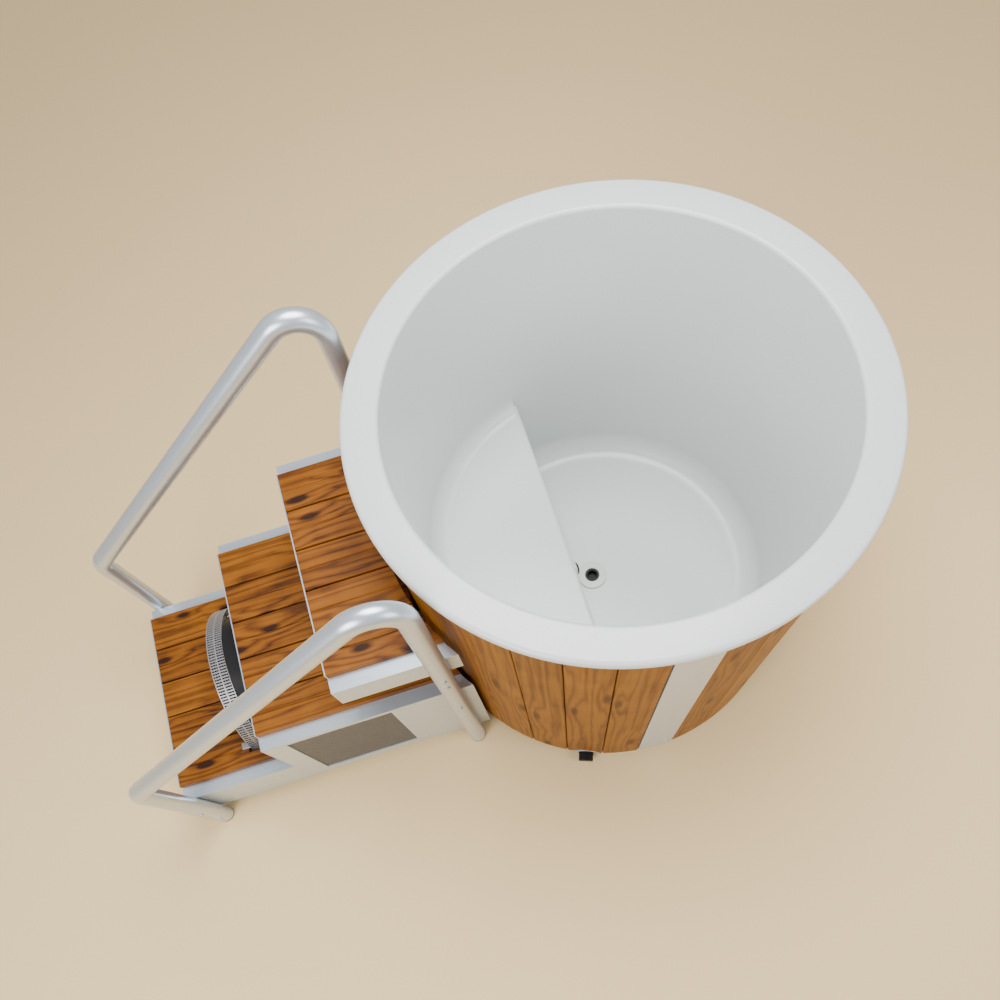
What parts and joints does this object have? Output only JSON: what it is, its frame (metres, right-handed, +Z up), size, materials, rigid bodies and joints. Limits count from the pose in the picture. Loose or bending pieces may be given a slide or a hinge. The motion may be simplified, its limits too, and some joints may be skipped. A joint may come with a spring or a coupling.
{
  "type": "cold plunge tub",
  "caption": "Round wood-clad cold plunge tub with a white moulded bench, beside steel-sided timber steps with handrails and a built-in chiller.",
  "frame": {"origin": "on the tub's vertical axis at floor level, on the underside of the plinth", "axes": "+X from the steps to the tub, +Y to the side away from the vent, +Z up"},
  "size_m": [2.055, 1.2, 1.1328],
  "materials": {
    "shell": "glossy white moulded shell",
    "stave_wood": "oiled orange-brown staves with figure across the grain",
    "tread_wood": "oiled warm brown boards with dark grain",
    "sheet_steel": "satin folded sheet",
    "rail_steel": "satin stainless tube",
    "screen_metal": "dark grey perforated sheet",
    "black_plastic": "black moulded plastic",
    "white_plastic": "off-white moulded fittings and pipe",
    "plinth_plastic": "dark moulded base",
    "machine_metal": "black painted chiller parts"
  },
  "bodies": {
    "base": {"tub_shell": "shell", "base_plinth": "plinth_plastic", "metal_strip": "sheet_steel", "stave_01": "stave_wood", "stave_02": "stave_wood", "stave_03": "stave_wood", "stave_04": "stave_wood", "stave_05": "stave_wood", "stave_06": "stave_wood", "stave_07": "stave_wood", "stave_08": "stave_wood", "stave_09": "stave_wood", "stave_10": "stave_wood", "stave_11": "stave_wood", "stave_12": "stave_wood", "stave_13": "stave_wood", "stave_14": "stave_wood", "stave_15": "stave_wood", "stave_16": "stave_wood", "stave_17": "stave_wood", "stave_18": "stave_wood", "stave_19": "stave_wood", "stave_20": "stave_wood", "stave_21": "stave_wood", "stave_22": "stave_wood", "stave_23": "stave_wood", "stave_24": "stave_wood", "stave_25": "stave_wood", "stave_26": "stave_wood", "stave_27": "stave_wood", "stave_28": "stave_wood", "stave_29": "stave_wood", "stave_30": "stave_wood", "stave_31": "stave_wood", "drain_flange": "white_plastic", "drain_pipe": "black_plastic", "return_fitting": "white_plastic", "return_pipe": "white_plastic", "side_panel_near": "sheet_steel", "side_panel_far": "sheet_steel", "low_step_casing": "sheet_steel", "riser_panel": "sheet_steel", "rear_panel": "sheet_steel", "base_tray": "sheet_steel", "top_step_frame": "sheet_steel", "vent_screen": "screen_metal", "low_tread": "tread_wood", "middle_tread": "tread_wood", "top_tread": "tread_wood", "handrail_near": "rail_steel", "handrail_far": "rail_steel", "fan_guard": "screen_metal", "fan_shroud": "black_plastic", "fan_motor": "machine_metal", "condenser": "machine_metal", "compressor": "machine_metal", "heat_exchanger": "machine_metal", "circulation_pump": "machine_metal"},
    "fan": {"fan_rotor": "black_plastic"},
    "valve_handle": {"drain_valve_handle": "black_plastic"}
  },
  "joints": [
    {"name": "fan_spin", "type": "hinge", "parent": "base", "child": "fan", "pos_m": [-1.1403, 0, 0.238], "axis": [1, 0, 0], "continuous": true},
    {"name": "drain_valve_turn", "type": "hinge", "parent": "base", "child": "valve_handle", "pos_m": [-0.23074, -0.53321, 0.03], "axis": [-0.3466, -0.938, 0], "range_deg": [0, 90]}
  ]
}
